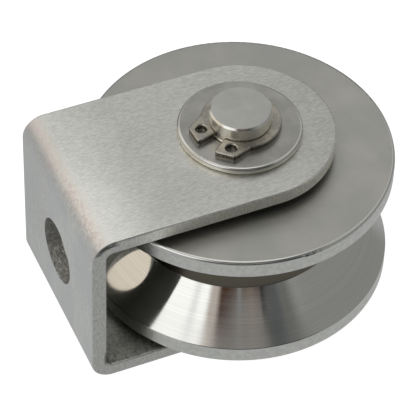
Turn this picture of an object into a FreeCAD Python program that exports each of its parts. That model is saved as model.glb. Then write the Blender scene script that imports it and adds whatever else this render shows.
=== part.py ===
"""V groove wheel on two ball bearings, held by an axle pin in a bent plate bracket.

Lengths are millimetres. The origin is the centre of the bolt hole on the outer face of the web.
+X points from the web to the wheel, +Z runs along the axle to its retaining ring.
"""
import FreeCAD, Part
import math
import os

Vector = FreeCAD.Vector
X_AXIS = Vector(1, 0, 0)
Y_AXIS = Vector(0, 1, 0)
Z_AXIS = Vector(0, 0, 1)

# Bracket
plate_thickness = 2.5
bracket_width = 30.0
bracket_height = 31.2
axle_distance = 31.2
arm_reach_past_axle = 15.4
bend_inner_radius = 1.2
bolt_hole_diameter = 11.0
plate_edge_round = 0.3

# Wheel
wheel_diameter = 50.0
wheel_width = 23.4
land_height = 3.05
rim_round = 0.6
groove_root_diameter = 36.0
groove_root_width = 3.2
groove_corner_round = 0.25
bore_mouth_chamfer = 0.4
bearing_shoulder_width = 1.5
bearing_shoulder_height = 1.6

# Ball bearings, two alike
bearing_bore = 10.0
bearing_outer_diameter = 26.0
bearing_width = 8.0
ball_diameter = 4.762
ball_count = 7
race_shoulder_height = 1.6
race_edge_chamfer = 0.3
cage_wall = 2.1
cage_rim = 0.5
cage_mouth_height = 1.0
seal_thickness = 0.5
seal_recess = 0.2
seal_seat_depth = 0.6

# Axle pin, washer and retaining rings
pin_head_diameter = 18.0
pin_head_height = 4.0
pin_head_chamfer = 0.8
pin_end_chamfer = 0.3
pin_end_length = 2.5
washer_diameter = 20.0
washer_thickness = 1.3
washer_edge_round = 0.45
axle_ring_thickness = 1.1
axle_ring_groove_depth = 0.2
axle_ring_width = 1.85
axle_ring_width_at_gap = 1.45
axle_ring_gap_angle = 22.0
axle_ring_gap_direction = 205.4
axle_ring_lug_height = 3.6
axle_ring_lug_angle = 24.0
axle_ring_lug_shoulder_angle = 22.0
axle_ring_hole_diameter = 1.8
axle_ring_hole_angle = 28.3
axle_ring_corner_round = 0.5
axle_ring_edge_chamfer = 0.15
bore_ring_thickness = 1.2
bore_ring_groove_depth = 0.6
bore_ring_width = 2.7
bore_ring_width_at_gap = 1.7
bore_ring_gap_angle = 30.0
bore_ring_gap_direction = 180.0
bore_ring_lug_height = 3.9
bore_ring_lug_angle = 16.0
bore_ring_hole_diameter = 2.0
spacer_wall = 2.2

# Clearances on the radius or, for grooves, on the width
pin_clearance = 0.02
washer_clearance = 0.25
axle_ring_groove_clearance = 0.2
bore_ring_groove_clearance = 0.05
ball_clearance = 0.08
cage_pocket_clearance = 0.1
seal_lip_clearance = 0.2
seat_clearance = 0.01

# Places worked out from the sizes above
half_height = bracket_height / 2
arm_inner_z = half_height - plate_thickness
bend_outer_radius = bend_inner_radius + plate_thickness
arm_end_x = axle_distance + arm_reach_past_axle - bracket_width / 2
wheel_radius = wheel_diameter / 2
face_z = wheel_width / 2
pin_radius = bearing_bore / 2 - pin_clearance
bearing_radius = bearing_outer_diameter / 2
wheel_bore_radius = bearing_radius + seat_clearance
shoulder_z = bearing_shoulder_width / 2
bearing_mid_z = shoulder_z + bearing_width / 2
bearing_outside_z = shoulder_z + bearing_width
bore_ring_groove_z = bearing_outside_z + bore_ring_thickness + bore_ring_groove_clearance
bore_ring_radius = wheel_bore_radius + bore_ring_groove_depth
ball_radius = ball_diameter / 2
pitch_radius = (bearing_bore + bearing_outer_diameter) / 4
spacer_radius = bearing_bore / 2 + spacer_wall
washer_top_z = half_height + washer_thickness
axle_ring_inner_radius = pin_radius - axle_ring_groove_depth
axle_ring_top_z = washer_top_z + axle_ring_thickness
pin_top_z = axle_ring_top_z + pin_end_length
pin_head_z = -half_height - pin_head_height


def polar(radius, degrees, z=0.0):
    """Point at a radius and an angle round the axle."""
    angle = math.radians(degrees)
    return Vector(axle_distance + radius * math.cos(angle), radius * math.sin(angle), z)


def distance_from_axle(point):
    return math.hypot(point.x - axle_distance, point.y)


def turned(profile):
    """Solid turned round the axle from a closed outline of (radius, z) points."""
    points = [Vector(axle_distance + radius, 0, z) for radius, z in profile]
    face = Part.Face(Part.makePolygon(points + points[:1]))
    return face.revolve(Vector(axle_distance, 0, 0), Z_AXIS, 360)


def rounded(solid, radius, places):
    """Round the circular edges that lie at the given (radius, z) places."""
    edges = [
        edge
        for edge in solid.Edges
        if isinstance(edge.Curve, Part.Circle)
        and any(
            math.isclose(edge.Curve.Radius, place[0], abs_tol=1e-4)
            and math.isclose(edge.Curve.Center.z, place[1], abs_tol=1e-4)
            for place in places
        )
    ]
    return solid.makeFillet(radius, edges)


def tube(inner_radius, outer_radius, z_low, z_high):
    """Plain ring round the axle."""
    return turned([
        (inner_radius, z_low),
        (outer_radius, z_low),
        (outer_radius, z_high),
        (inner_radius, z_high),
    ])


def rod(radius, z_low, z_high, centre_x=axle_distance, centre_y=0.0):
    """Plain cylinder along Z."""
    return Part.makeCylinder(radius, z_high - z_low, Vector(centre_x, centre_y, z_low), Z_AXIS)


def bend(centre_x, centre_z, radius, start_degrees, end_degrees):
    """Arc of the folded plate's outline, seen along Y."""
    points = []
    for degrees in (start_degrees, (start_degrees + end_degrees) / 2, end_degrees):
        angle = math.radians(degrees)
        points.append(Vector(
            centre_x + radius * math.cos(angle), 0, centre_z + radius * math.sin(angle)))
    return Part.Arc(*points)


def folded_strip():
    """Plate bent twice to a U, as wide as the bracket and cut square at the arms' ends."""
    tip_x = axle_distance + arm_reach_past_axle
    bend_z = half_height - bend_outer_radius
    outer = [
        bend(bend_outer_radius, bend_z, bend_outer_radius, 90, 180),
        bend(bend_outer_radius, -bend_z, bend_outer_radius, 180, 270),
    ]
    inner = [
        bend(bend_outer_radius, -bend_z, bend_inner_radius, 270, 180),
        bend(bend_outer_radius, bend_z, bend_inner_radius, 180, 90),
    ]
    path = [
        (Vector(tip_x, 0, half_height), outer),
        (Vector(tip_x, 0, -half_height), []),
        (Vector(tip_x, 0, -arm_inner_z), inner),
        (Vector(tip_x, 0, arm_inner_z), []),
    ]
    edges = []
    for index, (corner, arcs) in enumerate(path):
        last = corner
        for arc in arcs:
            edges.append(Part.LineSegment(last, arc.value(arc.FirstParameter)).toShape())
            edges.append(arc.toShape())
            last = arc.value(arc.LastParameter)
        edges.append(Part.LineSegment(last, path[(index + 1) % len(path)][0]).toShape())
    profile = Part.Face(Part.Wire(edges))
    profile.translate(Vector(0, -bracket_width / 2, 0))
    return profile.extrude(Y_AXIS * bracket_width)


def arm_plan():
    """Block with the bracket's outline seen from above: square at the web, round at the end."""
    half_width = bracket_width / 2
    corners = [
        Vector(arm_end_x, -half_width, 0),
        Vector(arm_end_x + half_width, 0, 0),
        Vector(arm_end_x, half_width, 0),
        Vector(-plate_thickness, half_width, 0),
        Vector(-plate_thickness, -half_width, 0),
    ]
    edges = [Part.Arc(*corners[:3]).toShape()]
    loop = corners[2:] + corners[:1]
    edges += [Part.LineSegment(a, b).toShape() for a, b in zip(loop, loop[1:])]
    plan = Part.Face(Part.Wire(edges))
    plan.translate(Vector(0, 0, -bracket_height))
    return plan.extrude(Z_AXIS * 2 * bracket_height)


def on_cut_edge(edge):
    """True for the long edges where the plate's faces meet its cut outline."""
    middle = edge.valueAt((edge.FirstParameter + edge.LastParameter) / 2)
    across = edge.Length < plate_thickness + 1e-3 and isinstance(edge.Curve, Part.Line)
    on_side = math.isclose(abs(middle.y), bracket_width / 2, abs_tol=1e-3)
    end_distance = math.hypot(middle.x - arm_end_x, middle.y)
    on_end = middle.x > arm_end_x and math.isclose(end_distance, bracket_width / 2, abs_tol=1e-3)
    return (on_side or on_end) and not across


def make_bracket():
    bracket = folded_strip().common(arm_plan())
    bracket = bracket.makeFillet(plate_edge_round, [e for e in bracket.Edges if on_cut_edge(e)])
    axle_hole = rod(bearing_bore / 2, -bracket_height, bracket_height)
    bolt_hole = Part.makeCylinder(
        bolt_hole_diameter / 2, 3 * plate_thickness, Vector(-plate_thickness, 0, 0), X_AXIS)
    return bracket.cut(axle_hole).cut(bolt_hole)


def make_wheel():
    land_z = face_z - land_height
    root_radius = groove_root_diameter / 2
    root_z = groove_root_width / 2
    upper = [
        (root_radius, root_z),
        (wheel_radius, land_z),
        (wheel_radius, face_z),
        (wheel_bore_radius + bore_mouth_chamfer, face_z),
        (wheel_bore_radius, face_z - bore_mouth_chamfer),
        (wheel_bore_radius, bore_ring_groove_z),
        (bore_ring_radius, bore_ring_groove_z),
        (bore_ring_radius, bearing_outside_z),
        (wheel_bore_radius, bearing_outside_z),
        (wheel_bore_radius, shoulder_z),
        (wheel_bore_radius - bearing_shoulder_height, shoulder_z),
    ]
    lower = [(radius, -z) for radius, z in reversed(upper)]
    corners = [
        (radius, side * z)
        for side in (1, -1)
        for radius, z in ((root_radius, root_z), (wheel_radius, land_z))
    ]
    wheel = rounded(turned(upper + lower), groove_corner_round, corners)
    return rounded(wheel, rim_round, [(wheel_radius, face_z), (wheel_radius, -face_z)])


def make_axle_pin():
    head_radius = pin_head_diameter / 2
    return turned([
        (0, pin_head_z),
        (head_radius - pin_head_chamfer, pin_head_z),
        (head_radius, pin_head_z + pin_head_chamfer),
        (head_radius, -half_height),
        (pin_radius, -half_height),
        (pin_radius, washer_top_z),
        (axle_ring_inner_radius, washer_top_z),
        (axle_ring_inner_radius, axle_ring_top_z + axle_ring_groove_clearance),
        (pin_radius, axle_ring_top_z + axle_ring_groove_clearance),
        (pin_radius, pin_top_z - pin_end_chamfer),
        (pin_radius - pin_end_chamfer, pin_top_z),
        (0, pin_top_z),
    ])


def make_axle_washer():
    radius = washer_diameter / 2
    washer = tube(pin_radius + washer_clearance, radius, half_height, washer_top_z)
    return rounded(washer, washer_edge_round, [(radius, half_height), (radius, washer_top_z)])


def sector(radius, start_degrees, end_degrees, z_low, z_high):
    """Wedge of a disc round the axle."""
    wedge = Part.makeCylinder(radius, z_high - z_low, Vector(), Z_AXIS, end_degrees - start_degrees)
    wedge.rotate(Vector(), Z_AXIS, start_degrees)
    wedge.translate(Vector(axle_distance, 0, z_low))
    return wedge


def plate_from_polar(points, z_low, z_high):
    """Flat plate with straight sides between (radius, degrees) points."""
    corners = [polar(radius, degrees, z_low) for radius, degrees in points]
    return Part.Face(Part.makePolygon(corners + corners[:1])).extrude(Z_AXIS * (z_high - z_low))


def make_axle_ring():
    """External retaining ring: a crescent that thins towards its gap, with a lug on each end."""
    z_low, z_high = washer_top_z, axle_ring_top_z
    back_radius = axle_ring_inner_radius + axle_ring_width
    gap_radius = axle_ring_inner_radius + axle_ring_width_at_gap
    offset = (back_radius - gap_radius) / 2
    centre = polar(offset, axle_ring_gap_direction + 180)
    ring = rod((back_radius + gap_radius) / 2, z_low, z_high, centre.x, centre.y)
    lug_radius = axle_ring_inner_radius + axle_ring_lug_height
    lug_start = axle_ring_gap_angle / 2
    lug_end = lug_start + axle_ring_lug_angle
    hole_radius = axle_ring_inner_radius + axle_ring_lug_height / 2
    holes = []
    for side in (1, -1):
        lug = plate_from_polar(
            [
                (axle_ring_inner_radius, axle_ring_gap_direction),
                (lug_radius, axle_ring_gap_direction + side * lug_start),
                (lug_radius, axle_ring_gap_direction + side * lug_end),
                (
                    gap_radius,
                    axle_ring_gap_direction + side * (lug_end + axle_ring_lug_shoulder_angle),
                ),
            ],
            z_low, z_high)
        ring = ring.fuse(lug)
        hole = polar(hole_radius, axle_ring_gap_direction + side * axle_ring_hole_angle)
        holes.append(rod(axle_ring_hole_diameter / 2, z_low, z_high, hole.x, hole.y))
    gap = sector(
        2 * lug_radius,
        axle_ring_gap_direction - lug_start,
        axle_ring_gap_direction + lug_start,
        z_low, z_high)
    ring = ring.cut([rod(axle_ring_inner_radius, z_low, z_high), gap] + holes).removeSplitter()
    lug_corners = [
        edge
        for edge in ring.Edges
        if edge.BoundBox.ZLength > axle_ring_thickness / 2
        and math.isclose(distance_from_axle(edge.Vertexes[0].Point), lug_radius, abs_tol=1e-3)
    ]
    ring = ring.makeFillet(axle_ring_corner_round, lug_corners)
    upper_edges = [edge for edge in ring.Edges if edge.BoundBox.ZMin > z_high - 1e-3]
    return ring.makeChamfer(axle_ring_edge_chamfer, upper_edges)


def make_bore_ring(side):
    """Internal retaining ring in the wheel's bore, above (side 1) or below (side -1)."""
    z_low, z_high = sorted((side * bearing_outside_z, side * (bearing_outside_z + bore_ring_thickness)))
    inner_back = bore_ring_radius - bore_ring_width
    inner_gap = bore_ring_radius - bore_ring_width_at_gap
    centre = polar((inner_gap - inner_back) / 2, bore_ring_gap_direction)
    opening = rod((inner_back + inner_gap) / 2, z_low, z_high, centre.x, centre.y)
    ring = rod(bore_ring_radius, z_low, z_high).cut(opening)
    lug_radius = bore_ring_radius - bore_ring_lug_height
    lug_start = bore_ring_gap_angle / 2
    lug_end = lug_start + bore_ring_lug_angle
    hole_radius = lug_radius + bore_ring_lug_height / 2
    cuts = [sector(
        2 * bore_ring_radius,
        bore_ring_gap_direction - lug_start,
        bore_ring_gap_direction + lug_start,
        z_low, z_high)]
    for direction in (1, -1):
        angles = sorted((
            bore_ring_gap_direction + direction * lug_start,
            bore_ring_gap_direction + direction * lug_end))
        lug = sector(bore_ring_radius, angles[0], angles[1], z_low, z_high)
        ring = ring.fuse(lug.cut(rod(lug_radius, z_low, z_high)))
        hole = polar(hole_radius, sum(angles) / 2)
        cuts.append(rod(bore_ring_hole_diameter / 2, z_low, z_high, hole.x, hole.y))
    return ring.cut(cuts).removeSplitter()


def make_bearing(prefix, mid_z):
    """One sealed deep groove ball bearing, as a dictionary of its pieces."""
    low = mid_z - bearing_width / 2
    high = mid_z + bearing_width / 2
    inner_shoulder = pitch_radius - race_shoulder_height
    outer_shoulder = pitch_radius + race_shoulder_height
    seal_seat_radius = outer_shoulder + seal_seat_depth
    seal_room = seal_recess + seal_thickness
    track = Part.makeTorus(
        pitch_radius, ball_radius + ball_clearance, Vector(axle_distance, 0, mid_z), Z_AXIS)

    inner_race = turned([
        (bearing_bore / 2 + race_edge_chamfer, low),
        (inner_shoulder, low),
        (inner_shoulder, high),
        (bearing_bore / 2 + race_edge_chamfer, high),
        (bearing_bore / 2, high - race_edge_chamfer),
        (bearing_bore / 2, low + race_edge_chamfer),
    ])
    outer_race = turned([
        (seal_seat_radius, low),
        (bearing_radius - race_edge_chamfer, low),
        (bearing_radius, low + race_edge_chamfer),
        (bearing_radius, high - race_edge_chamfer),
        (bearing_radius - race_edge_chamfer, high),
        (seal_seat_radius, high),
        (seal_seat_radius, high - seal_room),
        (outer_shoulder, high - seal_room),
        (outer_shoulder, low + seal_room),
        (seal_seat_radius, low + seal_room),
    ])

    ball_centres = [polar(pitch_radius, 360 * n / ball_count, mid_z) for n in range(ball_count)]
    balls = [Part.makeSphere(ball_radius, centre) for centre in ball_centres]
    pockets = [
        Part.makeSphere(ball_radius + cage_pocket_clearance, centre) for centre in ball_centres
    ]
    cage_low = mid_z - ball_radius - cage_pocket_clearance - cage_rim
    cage = tube(
        pitch_radius - cage_wall / 2, pitch_radius + cage_wall / 2,
        cage_low, mid_z + cage_mouth_height)

    pieces = {
        "inner_race": inner_race.cut(track),
        "outer_race": outer_race.cut(track),
        "balls": Part.makeCompound(balls),
        "ball_cage": cage.cut(pockets),
    }
    seal_outer = seal_seat_radius - seat_clearance
    seal_inner = inner_shoulder + seal_lip_clearance
    upper_seal = tube(seal_inner, seal_outer, high - seal_room, high - seal_recess)
    lower_seal = tube(seal_inner, seal_outer, low + seal_recess, low + seal_room)
    outside_is_up = mid_z > 0
    pieces["outside_seal"] = upper_seal if outside_is_up else lower_seal
    pieces["inside_seal"] = lower_seal if outside_is_up else upper_seal
    return {f"{prefix}_{name}": shape for name, shape in pieces.items()}


def make_spacer(z_low, z_high):
    return tube(bearing_bore / 2, spacer_radius, z_low, z_high)


def make_parts():
    parts = {
        "bracket": make_bracket(),
        "wheel": make_wheel(),
        "axle_pin": make_axle_pin(),
        "axle_washer": make_axle_washer(),
        "axle_retaining_ring": make_axle_ring(),
        "upper_spacer_ring": make_spacer(bearing_outside_z, arm_inner_z),
        "middle_spacer_ring": make_spacer(-shoulder_z, shoulder_z),
        "lower_spacer_ring": make_spacer(-arm_inner_z, -bearing_outside_z),
        "upper_bore_retaining_ring": make_bore_ring(1),
        "lower_bore_retaining_ring": make_bore_ring(-1),
    }
    parts.update(make_bearing("upper", bearing_mid_z))
    parts.update(make_bearing("lower", -bearing_mid_z))
    return parts


os.makedirs("parts", exist_ok=True)
for name, shape in make_parts().items():
    shape.exportStep(f"parts/{name}.step")
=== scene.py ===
"""Studio picture of the v groove wheel: finishes, light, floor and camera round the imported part."""
import bpy
import math
from mathutils import Matrix, Vector


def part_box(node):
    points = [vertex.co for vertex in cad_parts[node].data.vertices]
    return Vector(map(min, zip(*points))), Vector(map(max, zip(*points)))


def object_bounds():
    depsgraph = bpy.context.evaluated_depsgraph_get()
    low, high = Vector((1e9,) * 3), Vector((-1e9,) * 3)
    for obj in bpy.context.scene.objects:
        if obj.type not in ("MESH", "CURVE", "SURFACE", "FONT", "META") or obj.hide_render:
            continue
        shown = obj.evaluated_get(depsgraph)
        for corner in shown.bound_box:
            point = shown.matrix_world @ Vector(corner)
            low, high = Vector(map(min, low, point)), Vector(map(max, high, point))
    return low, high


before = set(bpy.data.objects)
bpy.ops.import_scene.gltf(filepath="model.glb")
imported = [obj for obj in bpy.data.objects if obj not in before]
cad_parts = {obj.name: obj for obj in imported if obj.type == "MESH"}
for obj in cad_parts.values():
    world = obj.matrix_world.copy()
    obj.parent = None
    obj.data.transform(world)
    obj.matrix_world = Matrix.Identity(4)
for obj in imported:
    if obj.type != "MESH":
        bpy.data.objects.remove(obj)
cad_low, cad_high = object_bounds()

MM = 0.001

# Camera, as it stood for the photograph
camera_azimuth = -25.189
camera_elevation = 46.666
camera_roll = 2.354
camera_distance = 401.78 * MM
camera_target = Vector((23.265, -6.263, 6.891)) * MM
sensor_width = 36.0
focal_length = 219.5
nearest_seen = 0.01
farthest_seen = 10.0

# Floor: half its side in metres, and the light it gives off
floor_half_size = 4.0
floor_glow = 0.93

# Sizes of the part that the finishes follow, in millimetres
bracket_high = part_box("bracket")[1] / MM
wheel_low, wheel_high = (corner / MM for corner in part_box("wheel"))
axle_x = (wheel_low.x + wheel_high.x) / 2
face_z = wheel_high.z
land_height = 3.05
rim_round = 0.6
groove_root_radius = 18.0
wheel_bore_radius = 13.0
bracket_half_width = bracket_high.y
arm_end_x = bracket_high.x - bracket_half_width
arm_outer_z = bracket_high.z
plate_thickness = 2.5
arm_inner_z = arm_outer_z - plate_thickness
bend_radius = 3.7
bolt_hole_radius = 5.5
washer_radius = 10.0
washer_edge_round = 0.45
pin_radius = 4.98
pin_end_chamfer = 0.3
ring_edge_chamfer = 0.15

# Very slight bow of the plate near the web: how far it reaches in millimetres, and its curve
bow_length = 14.0
bow_curve = 0.0085

# Colours other than plain steel
cool_steel = (0.6, 0.605, 0.61, 1.0)
warm_steel = (0.6, 0.54, 0.52, 1.0)
brass = (0.66, 0.47, 0.2, 1.0)


def plug(tree, socket, value):
    """Link a socket to another one, or give it a plain value."""
    if isinstance(value, bpy.types.NodeSocket):
        tree.links.new(value, socket)
    else:
        socket.default_value = value


def add(tree, kind, sockets=None, **settings):
    """New node with its settings and its input sockets filled in."""
    made = tree.nodes.new(kind)
    for name, value in settings.items():
        setattr(made, name, value)
    for key, value in (sockets or {}).items():
        plug(tree, made.inputs[key], value)
    return made


def calc(tree, operation, *values):
    """Result of one Math node."""
    return add(tree, "ShaderNodeMath", dict(enumerate(values)), operation=operation).outputs[0]


def product(tree, first, *others):
    """Product of two or more numbers."""
    for other in others:
        first = calc(tree, "MULTIPLY", first, other)
    return first


def total(tree, first, *others):
    """Sum of two or more numbers."""
    for other in others:
        first = calc(tree, "ADD", first, other)
    return first


def distance(tree, first, second):
    """Straight distance made up of two offsets at right angles."""
    return calc(tree, "SQRT", total(tree, product(tree, first, first), product(tree, second, second)))


def rise(tree, value, low, high, to_low=0.0, to_high=1.0):
    """Smooth step from to_low to to_high while the value goes from low to high."""
    sockets = {
        "Value": value, "From Min": low, "From Max": high, "To Min": to_low, "To Max": to_high}
    made = add(tree, "ShaderNodeMapRange", sockets, interpolation_type="SMOOTHSTEP")
    return made.outputs["Result"]


def fall(tree, value, low, high, to_low=1.0):
    """Smooth step from to_low to nothing while the value goes from low to high."""
    return rise(tree, value, low, high, to_low, 0.0)


def mix(tree, share, first, second):
    """Mix of two numbers by a share."""
    return add(tree, "ShaderNodeMix", {0: share, 2: first, 3: second}).outputs[0]


def blend_colours(tree, share, first, second):
    """Mix of two colours by a share."""
    return add(tree, "ShaderNodeMix", {0: share, 6: first, 7: second}, data_type="RGBA").outputs[2]


def shades(tree, level, low, high, first, second):
    """Colour that goes from first to second while a level goes from low to high."""
    return blend_colours(tree, rise(tree, level, low, high), first, second)


def grey(level, warmth=0.0):
    """Colour of a level; warmth above 0 leans to brown, below 0 to blue."""
    return (level * (1 + warmth), level, level * (1 - warmth), 1.0)


def steel(level, warmth=0.0):
    """Steel reflects a little less blue than red and green."""
    return (level * (1 + warmth), level, level * (0.935 - 1.3 * warmth), 1.0)


def millimetres(tree):
    """Place on the object in millimetres, as x from the axle, y and z."""
    place = add(tree, "ShaderNodeTexCoord").outputs["Object"]
    split = add(tree, "ShaderNodeSeparateXYZ", {0: place}).outputs
    x, y, z = (calc(tree, "MULTIPLY", split[axis], 1 / MM) for axis in range(3))
    return calc(tree, "SUBTRACT", x, axle_x), y, z


def noise(tree, x, y, z, scale, detail, roughness):
    """Noise level from 0 to 1 at a place given by three numbers."""
    place = add(tree, "ShaderNodeCombineXYZ", {0: x, 1: y, 2: z}).outputs[0]
    sockets = {"Vector": place, "Scale": scale, "Detail": detail, "Roughness": roughness}
    return add(tree, "ShaderNodeTexNoise", sockets).outputs[0]


def new_material(name):
    """Empty node material with its tree."""
    material = bpy.data.materials.new(name)
    material.use_nodes = True
    material.node_tree.nodes.clear()
    return material, material.node_tree


def finish_material(tree, colour, roughness, height, bump_strength=1.0, anisotropy=0.0, metallic=1.0):
    """Principled shader fed by a colour, a roughness and a bump height in millimetres."""
    bump = add(tree, "ShaderNodeBump", {"Strength": bump_strength, "Distance": MM, "Height": height})
    sockets = {
        "Base Color": colour,
        "Roughness": roughness,
        "Normal": bump.outputs[0],
        "Metallic": metallic,
        "Anisotropic": anisotropy,
        "Anisotropic Rotation": 0.25,
    }
    if anisotropy:
        tangent = add(tree, "ShaderNodeTangent", direction_type="RADIAL", axis="Z")
        sockets["Tangent"] = tangent.outputs[0]
    shader = add(tree, "ShaderNodeBsdfPrincipled", sockets)
    add(tree, "ShaderNodeOutputMaterial", {"Surface": shader.outputs[0]})


def rolled_face(tree, x, y, z, from_web):
    """Colour, roughness and height of the plate's outer faces, with grain along the folded strip, a
    painted highlight near the web and painted shade at the round ends.
    """
    on_arm = rise(tree, from_web, 0.0, bend_radius)
    along = mix(tree, on_arm, z, x)
    streaks = noise(
        tree, product(tree, along, 0.16), product(tree, y, 1.1), 0.0,
        scale=1.3, detail=4, roughness=0.6)
    dashes = noise(
        tree, product(tree, along, 1.1), product(tree, y, 6.0), 3.0,
        scale=1.1, detail=3, roughness=0.65)
    peel = noise(tree, x, y, z, scale=2.6, detail=2, roughness=0.5)
    clouds = noise(tree, x, y, z, scale=0.09, detail=3, roughness=0.5)

    # Painted highlight on the web and near it towards -Y, a little painted light on the web towards +Y,
    # painted shade towards the round ends
    bend_painted_highlight = product(
        tree, fall(tree, from_web, 4.0, 13.0), rise(tree, y, 14.0, -8.0, 0.0, 0.13))
    web_painted_light = fall(tree, from_web, 0.1, 0.6, rise(tree, y, -4.0, 13.0, 0.0, 0.05))
    end_shade = rise(tree, from_web, 24.0, 46.0, 0.0, -0.065)
    tone = total(
        tree,
        rise(tree, streaks, 0.3, 0.7, 0.55, 0.59),
        rise(tree, dashes, 0.3, 0.7, -0.085, 0.085),
        rise(tree, clouds, 0.35, 0.7, -0.02, 0.02),
        bend_painted_highlight,
        web_painted_light,
        end_shade)
    colour = blend_colours(tree, tone, grey(0.0), steel(1.0))

    # Cool patches on the web and a warm mottle along the bends
    patches = noise(
        tree, x, product(tree, y, 0.22), product(tree, z, 0.07), scale=1.0, detail=2, roughness=0.5)
    cool = product(tree, fall(tree, from_web, 0.1, 0.5, 0.6), rise(tree, patches, 0.4, 0.6))
    colour = blend_colours(tree, cool, colour, cool_steel)
    at_bend = product(tree, rise(tree, from_web, 0.2, 0.8), fall(tree, from_web, 1.8, 3.2))
    spots = noise(tree, x, y, z, scale=1.6, detail=3, roughness=0.6)
    warm = product(tree, at_bend, rise(tree, spots, 0.42, 0.6, 0.0, 0.8))
    colour = blend_colours(tree, warm, colour, warm_steel)

    roughness = rise(tree, streaks, 0.25, 0.75, 0.3, 0.38)
    height = total(
        tree,
        product(tree, streaks, 0.008),
        product(tree, dashes, 0.028),
        product(tree, peel, rise(tree, from_web, 2.0, 14.0, 0.03, 0.012)))
    return colour, roughness, height


def inner_face_colour(tree, y, z, from_web, speckle):
    """Speckled inside, with painted light under the upper arm and on the web's +Y part, and painted shade
    on its -Y part.
    """
    colour = shades(tree, speckle, 0.35, 0.65, steel(0.37), steel(0.58))
    in_web = fall(tree, from_web, plate_thickness + 0.2, bend_radius)
    inner_web_painted_light = product(tree, in_web, rise(tree, y, 4.0, 12.0, 0.0, 0.9))
    inside_painted_light = calc(tree, "MAXIMUM", rise(tree, z, 4.0, 12.0, 0.0, 0.9), inner_web_painted_light)
    colour = blend_colours(tree, inside_painted_light, colour, steel(0.85))
    inner_web_painted_shade = product(tree, in_web, rise(tree, y, 0.0, -8.0, 0.0, 0.85))
    colour = blend_colours(tree, inner_web_painted_shade, colour, steel(0.14))

    # Lighter speckles on the lower arm's inside, along its -Y edge
    lighter_edge_speckles = product(
        tree,
        rise(tree, y, -11.0, -15.0, 0.0, 0.7),
        rise(tree, z, -11.0, -12.5),
        rise(tree, speckle, 0.35, 0.6))
    return blend_colours(tree, lighter_edge_speckles, colour, steel(0.8))


def cut_edge_colour(tree, x, y, z, from_web, grain):
    """Sheared edge, with a painted highlight along the upper arm."""
    colour = shades(tree, grain, 0.35, 0.65, steel(0.49), steel(0.63))
    # Painted highlight: lighter sheared steel along the upper arm
    upper_cut_painted_light = shades(tree, grain, 0.35, 0.62, steel(0.7, 0.02), steel(0.9, 0.02))
    upper_cut_light_share = product(tree, rise(tree, from_web, 6.0, 12.0), rise(tree, z, 0.0, 1.0))
    colour = blend_colours(tree, upper_cut_light_share, colour, upper_cut_painted_light)

    # Dark torn smear that follows the upper bend
    bend_x = calc(tree, "SUBTRACT", bend_radius, from_web)
    bend_z = calc(tree, "SUBTRACT", z, arm_outer_z - bend_radius)
    from_bend = distance(tree, bend_x, bend_z)
    torn_ends = product(tree, rise(tree, bend_x, -1.2, 0.2), rise(tree, bend_z, 1.2, 1.8))
    torn_sides = product(tree, rise(tree, from_bend, 2.55, 2.85), fall(tree, from_bend, 3.4, 3.6))
    torn_lines = noise(
        tree, product(tree, from_bend, 4.0), product(tree, x, 0.8), y,
        scale=0.9, detail=3, roughness=0.6)
    torn = product(tree, torn_ends, torn_sides, rise(tree, torn_lines, 0.3, 0.55, 0.5, 1.0))
    colour = blend_colours(tree, torn, colour, steel(0.08))

    # Painted shade in the inner corner at the lower bend
    lower_bend_painted_shade = product(
        tree,
        rise(tree, from_web, 1.9, 2.4),
        rise(tree, z, -8.8, -10.8),
        rise(tree, z, -13.0, -12.0))
    return blend_colours(tree, lower_bend_painted_shade, colour, steel(0.07))


def bracket_material():
    """Rolled plate with a speckled inside, sheared edges and a rough bolt hole, with painted highlights
    and painted shade.
    """
    material, tree = new_material("brushed_plate")
    x, y, z = millimetres(tree)
    from_web = total(tree, x, axle_x)
    speckle = noise(tree, x, y, z, scale=1.7, detail=4, roughness=0.7)
    colour, roughness, height = rolled_face(tree, x, y, z, from_web)

    inside = product(
        tree,
        rise(tree, from_web, plate_thickness - 0.1, plate_thickness - 0.02),
        fall(tree, calc(tree, "ABSOLUTE", z), arm_inner_z + 0.02, arm_inner_z + 0.1))
    inside_colour = inner_face_colour(tree, y, z, from_web, speckle)
    colour = blend_colours(tree, inside, colour, inside_colour)
    roughness = mix(tree, inside, roughness, 0.45)

    past_end = calc(tree, "MAXIMUM", calc(tree, "SUBTRACT", from_web, arm_end_x), 0.0)
    from_middle = distance(tree, past_end, y)
    cut = rise(tree, from_middle, bracket_half_width - 0.12, bracket_half_width - 0.02)
    cut_grain = noise(tree, x, y, product(tree, z, 0.4), scale=3.0, detail=4, roughness=0.65)
    cut_colour = cut_edge_colour(tree, x, y, z, from_web, cut_grain)
    colour = blend_colours(tree, cut, colour, cut_colour)
    roughness = mix(tree, cut, roughness, 0.5)
    height = mix(tree, cut, height, product(tree, cut_grain, 0.04))

    # Bolt hole wall: rough sheared steel, darkened with painted shade
    in_hole = product(
        tree,
        fall(tree, from_web, plate_thickness - 0.02, plate_thickness + 0.1),
        fall(tree, distance(tree, y, z), bolt_hole_radius + 0.02, bolt_hole_radius + 0.06))
    hole_wall_painted_shade = shades(tree, speckle, 0.4, 0.65, steel(0.26, 0.02), steel(0.44, 0.02))
    colour = blend_colours(tree, in_hole, colour, hole_wall_painted_shade)
    roughness = mix(tree, in_hole, roughness, 0.55)
    hole_height = product(tree, speckle, rise(tree, z, -2.5, -4.5, 0.1, 0.3))
    height = mix(tree, in_hole, height, hole_height)

    to_flat = calc(tree, "MAXIMUM", calc(tree, "SUBTRACT", bow_length, from_web), 0.0)
    bow = product(tree, to_flat, to_flat, -bow_curve)
    finish_material(tree, colour, roughness, total(tree, height, bow))
    return material


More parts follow.
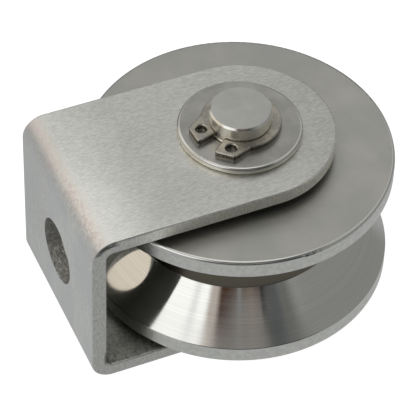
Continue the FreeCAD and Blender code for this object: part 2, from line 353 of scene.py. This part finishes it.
def turned_material(
        name, colour, roughness, line_height,
        line_scale=2.5, anisotropy=0.4, mottle=0.12, painted_highlight_edge=None):
    """Metal turned on a lathe, with a faint mottle.

    A painted highlight edge is a radius and a z: outside that radius a painted highlight makes the metal
    paler, and where it is also above that z it is smoother and its painted highlight less pale.
    """
    material, tree = new_material(name)
    x, y, z = millimetres(tree)
    radius = distance(tree, x, y)
    lines = noise(tree, radius, z, 0.0, scale=line_scale, detail=4, roughness=0.7)
    cloud = noise(tree, x, y, z, scale=0.22, detail=3, roughness=0.55)
    dark = tuple(channel * (1 - mottle) for channel in colour[:3]) + (1.0,)
    light = tuple(min(1.0, channel * (1 + mottle)) for channel in colour[:3]) + (1.0,)
    blended = shades(tree, cloud, 0.3, 0.7, dark, light)
    rough = rise(tree, lines, 0.25, 0.75, roughness * 0.8, roughness * 1.25)
    if painted_highlight_edge:
        edge_radius, edge_z = painted_highlight_edge
        wall_painted_highlight = rise(tree, radius, edge_radius, edge_radius + 0.05)
        # Painted highlight: paler steel on the outer wall
        blended = blend_colours(tree, wall_painted_highlight, blended, steel(0.85, 0.03))
        edge_painted_highlight = product(tree, wall_painted_highlight, rise(tree, z, edge_z, edge_z + 0.02))
        # Painted highlight on the top edge, less pale, and a smoother finish there
        blended = blend_colours(tree, edge_painted_highlight, blended, steel(0.55, 0.01))
        rough = mix(tree, edge_painted_highlight, rough, 0.18)
    finish_material(tree, blended, rough, product(tree, lines, line_height), anisotropy=anisotropy)
    return material


def stamped_ring_material(name, *rings):
    """Spring steel stamped from sheet: warm mottled faces and sheared walls darkened with painted shade.
    """
    material, tree = new_material(name)
    x, y, z = millimetres(tree)
    wall = None
    for ring in rings:
        low, high = (corner.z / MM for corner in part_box(ring))
        wall_low = low + ring_edge_chamfer
        wall_high = high - ring_edge_chamfer
        between = product(
            tree,
            rise(tree, z, wall_low, wall_low + 0.05),
            fall(tree, z, wall_high - 0.05, wall_high))
        wall = between if wall is None else calc(tree, "MAXIMUM", wall, between)
    cloud = noise(tree, x, y, z, scale=0.8, detail=3, roughness=0.6)
    grain = noise(tree, x, y, z, scale=3.5, detail=3, roughness=0.6)
    face = shades(tree, cloud, 0.35, 0.65, steel(0.28, 0.05), steel(0.38, 0.06))
    # Sheared walls: rough steel darkened with painted shade
    sheared = shades(tree, grain, 0.35, 0.65, steel(0.06, 0.08), steel(0.22, 0.1))
    colour = blend_colours(tree, wall, face, sheared)
    roughness = rise(tree, grain, 0.3, 0.7, 0.27, 0.38)
    finish_material(tree, colour, roughness, product(tree, grain, 0.02))
    return material


def wheel_material():
    """Turned steel wheel: satin faces and lands, a polished groove and rims, a dark groove root."""
    material, tree = new_material("turned_wheel_steel")
    x, y, z = millimetres(tree)
    radius = distance(tree, x, y)
    level = calc(tree, "ABSOLUTE", z)
    land_z = face_z - land_height
    rim_z = face_z - rim_round
    past_bore = rise(tree, radius, wheel_bore_radius + 2.0, wheel_bore_radius + 3.0)
    in_groove = product(tree, past_bore, fall(tree, level, land_z - 0.05, land_z + 0.05))
    at_root = product(
        tree, in_groove, fall(tree, radius, groove_root_radius + 0.02, groove_root_radius + 0.1))
    on_face = rise(tree, level, face_z - 0.02, face_z - 0.005)
    on_rim = product(
        tree, rise(tree, level, rim_z, rim_z + 0.1), calc(tree, "SUBTRACT", 1.0, on_face))
    polished = calc(tree, "MAXIMUM", in_groove, on_rim)

    lines = noise(tree, radius, z, 0.0, scale=8.5, detail=3, roughness=0.6)
    feed_marks = noise(tree, radius, z, 0.0, scale=2.4, detail=4, roughness=0.7)
    cloud = noise(tree, x, y, z, scale=0.1, detail=3, roughness=0.55)
    flecks = noise(tree, x, y, z, scale=1.3, detail=3, roughness=0.6)
    land_colour = shades(tree, flecks, 0.35, 0.65, steel(0.6), steel(0.69))
    face_colour = shades(tree, cloud, 0.35, 0.7, steel(0.388), steel(0.44, 0.02))
    polished_colour = shades(tree, feed_marks, 0.3, 0.7, steel(0.51), steel(0.58))
    colour = blend_colours(tree, on_face, land_colour, face_colour)
    colour = blend_colours(tree, polished, colour, polished_colour)
    colour = blend_colours(tree, at_root, colour, steel(0.13, 0.12))

    satin_roughness = rise(tree, lines, 0.25, 0.75, 0.3, 0.4)
    polished_roughness = total(
        tree, rise(tree, lines, 0.25, 0.75, 0.05, 0.1), rise(tree, radius, 20.5, 24.5, 0.0, 0.08))
    roughness = mix(tree, polished, satin_roughness, polished_roughness)
    roughness = mix(tree, at_root, roughness, 0.3)
    line_height = rise(tree, radius, 20.0, 24.0, 0.0005, 0.0012)
    finish_material(tree, colour, roughness, product(tree, lines, line_height), anisotropy=0.3)
    return material


def moulded_material(name, colour, roughness):
    """Moulded rubber or plastic with a fine grain."""
    material, tree = new_material(name)
    x, y, z = millimetres(tree)
    grain = noise(tree, x, y, z, scale=6.0, detail=3, roughness=0.6)
    dark = tuple(channel * 0.75 for channel in colour[:3]) + (1.0,)
    blended = blend_colours(tree, grain, dark, colour)
    rough = rise(tree, grain, 0.2, 0.8, roughness - 0.08, roughness + 0.08)
    finish_material(
        tree, blended, rough, product(tree, grain, 0.02), bump_strength=0.6, metallic=0.0)
    return material


def dress(material, *names):
    """Give the named CAD pieces a material."""
    for name in names:
        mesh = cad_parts[name].data
        mesh.materials.clear()
        mesh.materials.append(material)


def edge_place(radius, top_z, edge_size):
    """Radius and z, in millimetres, where the edge round the top of a piece begins."""
    return radius - edge_size + 0.02, top_z - edge_size


def dress_part():
    """Every piece of the part gets its finish."""
    dress(bracket_material(), "bracket")
    dress(wheel_material(), "wheel")
    pin_edge = edge_place(pin_radius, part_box("axle_pin")[1].z / MM, pin_end_chamfer)
    pin_steel = turned_material(
        "turned_pin_steel", steel(0.46), roughness=0.34, line_height=0.004,
        line_scale=3.5, mottle=0.06, painted_highlight_edge=pin_edge)
    dress(pin_steel, "axle_pin")
    washer_edge = edge_place(washer_radius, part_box("axle_washer")[1].z / MM, washer_edge_round)
    washer_steel = turned_material(
        "washer_steel", steel(0.365, 0.01), roughness=0.34, line_height=0.004,
        anisotropy=0.2, painted_highlight_edge=washer_edge)
    dress(washer_steel, "axle_washer")
    rings = ("axle_retaining_ring", "upper_bore_retaining_ring", "lower_bore_retaining_ring")
    dress(stamped_ring_material("spring_steel", *rings), *rings)
    spacer_steel = turned_material("spacer_steel", steel(0.5), roughness=0.3, line_height=0.004)
    dress(spacer_steel, "upper_spacer_ring", "middle_spacer_ring", "lower_spacer_ring")
    race_steel = turned_material(
        "bearing_race_steel", steel(0.58), roughness=0.16, line_height=0.002)
    ball_steel = turned_material(
        "bearing_ball_steel", steel(0.66), roughness=0.05, line_height=0.0,
        line_scale=2.0, anisotropy=0.0, mottle=0.03)
    cage_brass = turned_material(
        "bearing_cage_brass", brass, roughness=0.3, line_height=0.01,
        line_scale=2.0, anisotropy=0.0, mottle=0.1)
    seal_rubber = moulded_material("bearing_seal_rubber", grey(0.02), roughness=0.5)
    for end in ("upper", "lower"):
        dress(race_steel, f"{end}_inner_race", f"{end}_outer_race")
        dress(ball_steel, f"{end}_balls")
        dress(cage_brass, f"{end}_ball_cage")
        dress(seal_rubber, f"{end}_inside_seal", f"{end}_outside_seal")


# Patches of the surroundings: azimuth, elevation, half width, half height and blur in degrees,
# then the light. Azimuth goes from +X towards +Y. A later patch is painted over the earlier ones.
light_patches = [
    # Darker low parts of the room
    (-38, 14, 62, 25, 9, grey(0.375)),
    (75, 10, 42, 16, 6, grey(0.27)),
    (-100, 7, 38, 20, 6, grey(0.11, -0.03)),
    (-73, 7, 14, 21, 6, grey(0.08, -0.08)),
    # Dark, grey and tinted patches round the camera, which the lower side of the groove mirrors
    (-90, 57, 30, 15, 4, grey(0.18, -0.06)),
    (-110, 36, 18.5, 4.2, 1.2, grey(0.5)),
    (-110, 44.8, 18.5, 4.2, 1, (0.075, 0.022, 0.006, 1.0)),
    (-131.5, 39, 3.4, 14, 2, (0.74, 0.66, 0.62, 1.0)),
    (-108.5, 43, 1.4, 3.2, 1, grey(0.3)),
    (-98, 43, 2.6, 2.7, 1, (0.22, 0.15, 0.1, 1.0)),
    (-71, 37, 7, 8, 5, grey(0.22)),
    (-80, 35, 5.5, 3.6, 1.5, grey(0.17, -0.06)),
    (-82, 42, 5.5, 3.6, 1, grey(0.02)),
    # Large soft box on the left, with a slightly dimmer strip
    (-158.2, 38, 17.2, 16, 2, (1.7, 1.7, 1.74, 1.0)),
    (-147, 39, 2.2, 14, 2, (1.35, 1.34, 1.4, 1.0)),
    # Soft boxes behind the object, the lower two warmer
    (104, 50, 15, 9, 8, grey(1.25)),
    (130, 24, 14, 17, 7, (1.13, 1.07, 1.03, 1.0)),
    (161, 25, 19, 14, 8, (1.12, 1.0, 0.88, 1.0)),
    # Soft box overhead
    (0, 90, 15, 15, 6, grey(1.35)),
]


def direction(azimuth, elevation):
    """Unit vector at an angle from +X towards +Y and an angle above the floor."""
    turn = math.radians(azimuth)
    lift = math.radians(elevation)
    return Vector((math.cos(turn) * math.cos(lift), math.sin(turn) * math.cos(lift), math.sin(lift)))


def reach(tree, ray, axis):
    """How far a ray reaches along an axis."""
    made = add(tree, "ShaderNodeVectorMath", {0: ray, 1: axis}, operation="DOT_PRODUCT")
    return made.outputs["Value"]


def light_patch(tree, ray, colour, azimuth, elevation, half_width, half_height, blur, light):
    """Paint one soft rectangle of light, sizes in degrees, over the surroundings' colour."""
    ahead = direction(azimuth, elevation)
    across = direction(azimuth + 90, 0)
    upwards = ahead.cross(across)
    forward = calc(tree, "MAXIMUM", reach(tree, ray, ahead), 0.001)
    share = None
    for axis, half_size in ((across, half_width), (upwards, half_height)):
        slope = calc(tree, "ABSOLUTE", calc(tree, "DIVIDE", reach(tree, ray, axis), forward))
        inner = math.tan(math.radians(max(half_size - blur, 0.0)))
        outer = math.tan(math.radians(half_size + blur))
        inside = fall(tree, slope, inner, outer)
        share = inside if share is None else product(tree, share, inside)
    return blend_colours(tree, share, colour, light)


def make_world():
    """Studio surroundings: a pale room with its soft boxes and darker parts."""
    world = bpy.data.worlds.new("studio")
    bpy.context.scene.world = world
    world.use_nodes = True
    tree = world.node_tree
    tree.nodes.clear()
    ray = add(tree, "ShaderNodeTexCoord").outputs["Generated"]
    height = add(tree, "ShaderNodeSeparateXYZ", {0: ray}).outputs[2]
    colour = shades(tree, height, -0.15, 0.75, grey(0.56, -0.02), grey(0.7))
    for patch in light_patches:
        colour = light_patch(tree, ray, colour, *patch)
    background = add(tree, "ShaderNodeBackground", {"Color": colour, "Strength": 1.0})
    add(tree, "ShaderNodeOutputWorld", {"Surface": background.outputs[0]})


def make_floor():
    """Plain pale floor under the pin's head, bright enough to leave only a faint shadow."""
    size = floor_half_size
    mesh = bpy.data.meshes.new("floor")
    corners = [(-size, -size, 0), (size, -size, 0), (size, size, 0), (-size, size, 0)]
    mesh.from_pydata(corners, [], [(0, 1, 2, 3)])
    floor = bpy.data.objects.new("floor", mesh)
    floor.location.z = cad_low.z
    bpy.context.scene.collection.objects.link(floor)
    material, tree = new_material("pale_floor")
    sockets = {
        "Base Color": grey(0.3),
        "Roughness": 1.0,
        "Specular IOR Level": 0.0,
        "Emission Color": grey(1.0),
        "Emission Strength": floor_glow,
    }
    shader = add(tree, "ShaderNodeBsdfPrincipled", sockets)
    add(tree, "ShaderNodeOutputMaterial", {"Surface": shader.outputs[0]})
    mesh.materials.append(material)
    floor.visible_glossy = False


def make_camera():
    """Camera that sees the object as the photograph does."""
    azimuth = math.radians(camera_azimuth)
    elevation = math.radians(camera_elevation)
    roll = math.radians(camera_roll)
    back = Vector((
        math.sin(azimuth) * math.cos(elevation),
        -math.cos(azimuth) * math.cos(elevation),
        math.sin(elevation)))
    right = Vector((math.cos(azimuth), math.sin(azimuth), 0.0))
    upward = back.cross(right)
    rolled_right = right * math.cos(roll) + upward * math.sin(roll)
    rolled_up = upward * math.cos(roll) - right * math.sin(roll)
    place = Matrix((rolled_right, rolled_up, back)).transposed().to_4x4()
    place.translation = camera_target + back * camera_distance
    lens = bpy.data.cameras.new("camera")
    lens.lens = focal_length
    lens.sensor_width = sensor_width
    lens.clip_start = nearest_seen
    lens.clip_end = farthest_seen
    camera = bpy.data.objects.new("camera", lens)
    camera.matrix_world = place
    bpy.context.scene.collection.objects.link(camera)
    bpy.context.scene.camera = camera


dress_part()
make_world()
make_floor()
make_camera()
bpy.context.scene.view_settings.view_transform = "Standard"
